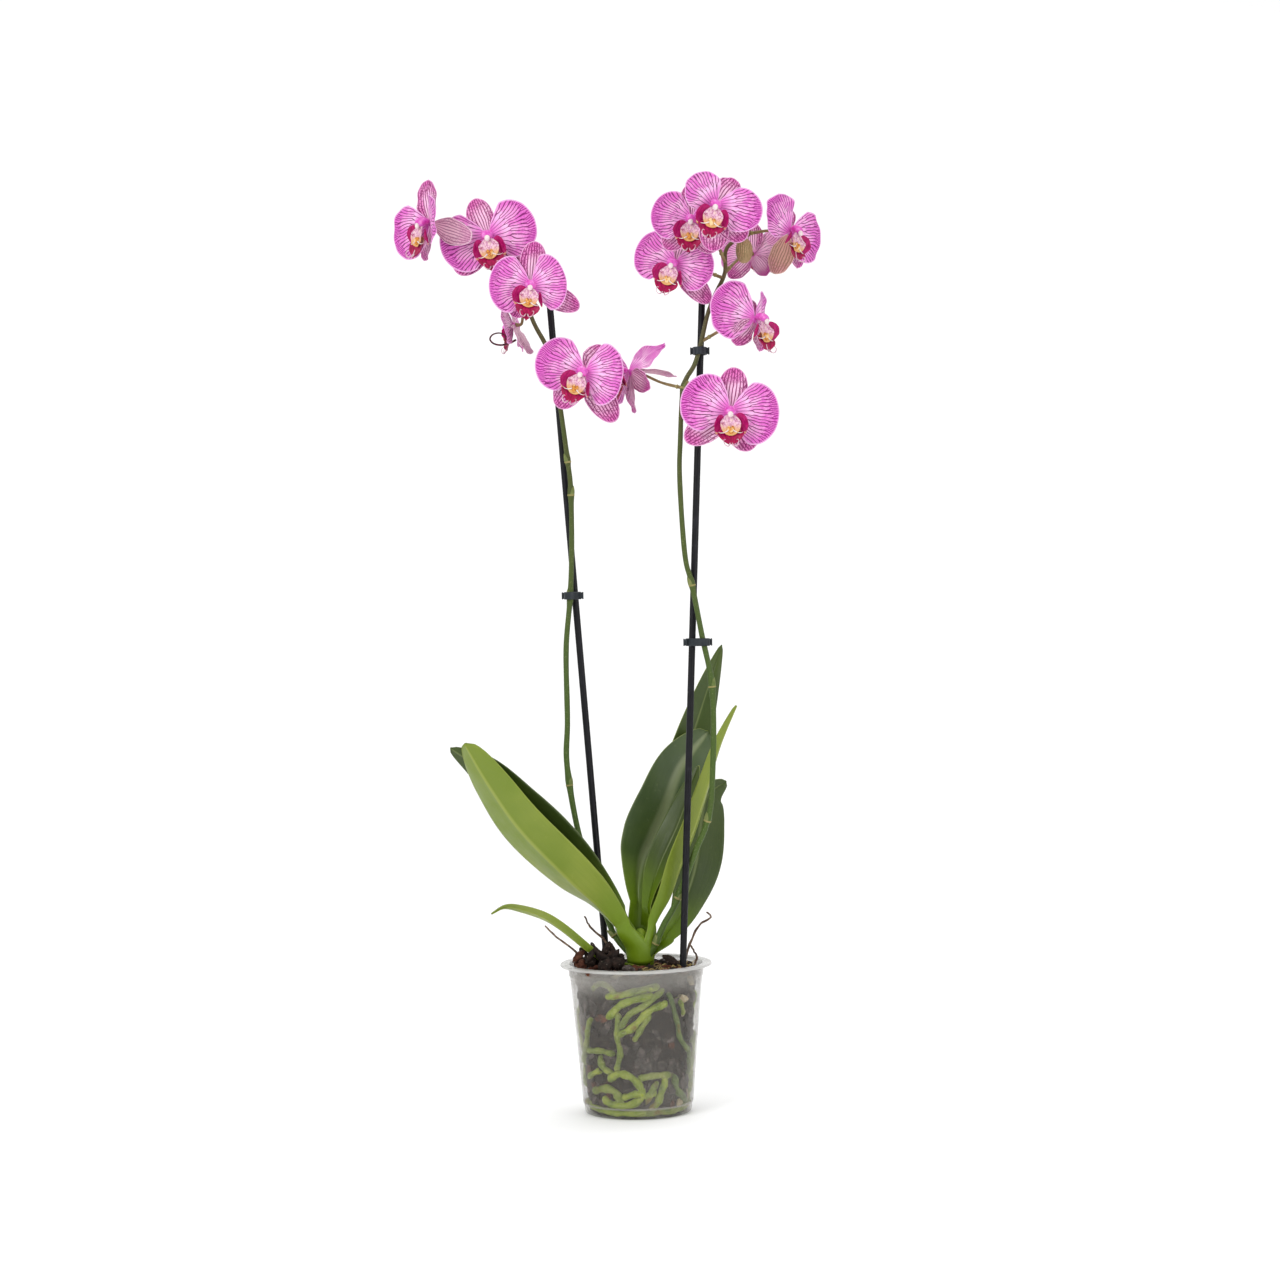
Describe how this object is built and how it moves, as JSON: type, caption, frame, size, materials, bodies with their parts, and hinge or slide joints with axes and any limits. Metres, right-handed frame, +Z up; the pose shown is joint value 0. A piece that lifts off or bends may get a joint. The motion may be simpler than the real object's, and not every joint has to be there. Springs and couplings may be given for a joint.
{
  "type": "potted orchid plant",
  "caption": "Moth orchid with two staked flower spikes, strappy leaves and veined pink blooms, planted in bark in a clear round pot.",
  "frame": {"origin": "centre of the pot's flat underside", "axes": "+Z up, the pot's axis; the blooms' front faces -Y; +X to the right seen from the front"},
  "size_m": [0.3387, 0.1835, 0.7385],
  "materials": {
    "pot_plastic": "satin",
    "bark": "matte",
    "root_skin": "matte",
    "leaf": "satin",
    "stem": "satin",
    "stake": "satin",
    "clip": "satin",
    "tepal": "satin",
    "lip": "satin",
    "bud": "satin"
  },
  "bodies": {
    "root": {"pot": "pot_plastic", "bark_mix": "bark", "crown_and_roots": "root_skin", "stake_left": "stake", "stake_right": "stake", "spike_left": "stem", "spike_right": "stem", "bud_right": "bud", "clip_left": "clip", "clip_right_lower": "clip", "clip_right_upper": "clip", "leaf_a": "leaf", "leaf_b": "leaf", "leaf_c": "leaf", "leaf_d": "leaf", "leaf_e": "leaf", "leaf_f": "leaf", "leaf_g": "leaf", "leaf_h": "leaf", "bloom_l1": "tepal", "lip_l1": "lip", "bloom_l2": "tepal", "lip_l2": "lip", "bloom_l3": "tepal", "lip_l3": "lip", "bloom_l4": "tepal", "lip_l4": "lip", "bloom_l5": "tepal", "lip_l5": "lip", "bloom_r1": "tepal", "lip_r1": "lip", "bloom_r2": "tepal", "lip_r2": "lip", "bloom_r3": "tepal", "lip_r3": "lip", "bloom_r4": "tepal", "lip_r4": "lip", "bloom_r5": "tepal", "lip_r5": "lip", "bloom_r6": "tepal", "lip_r6": "lip", "bloom_r7": "tepal", "lip_r7": "lip", "bloom_r8": "tepal", "lip_r8": "lip"}
  },
  "joints": []
}
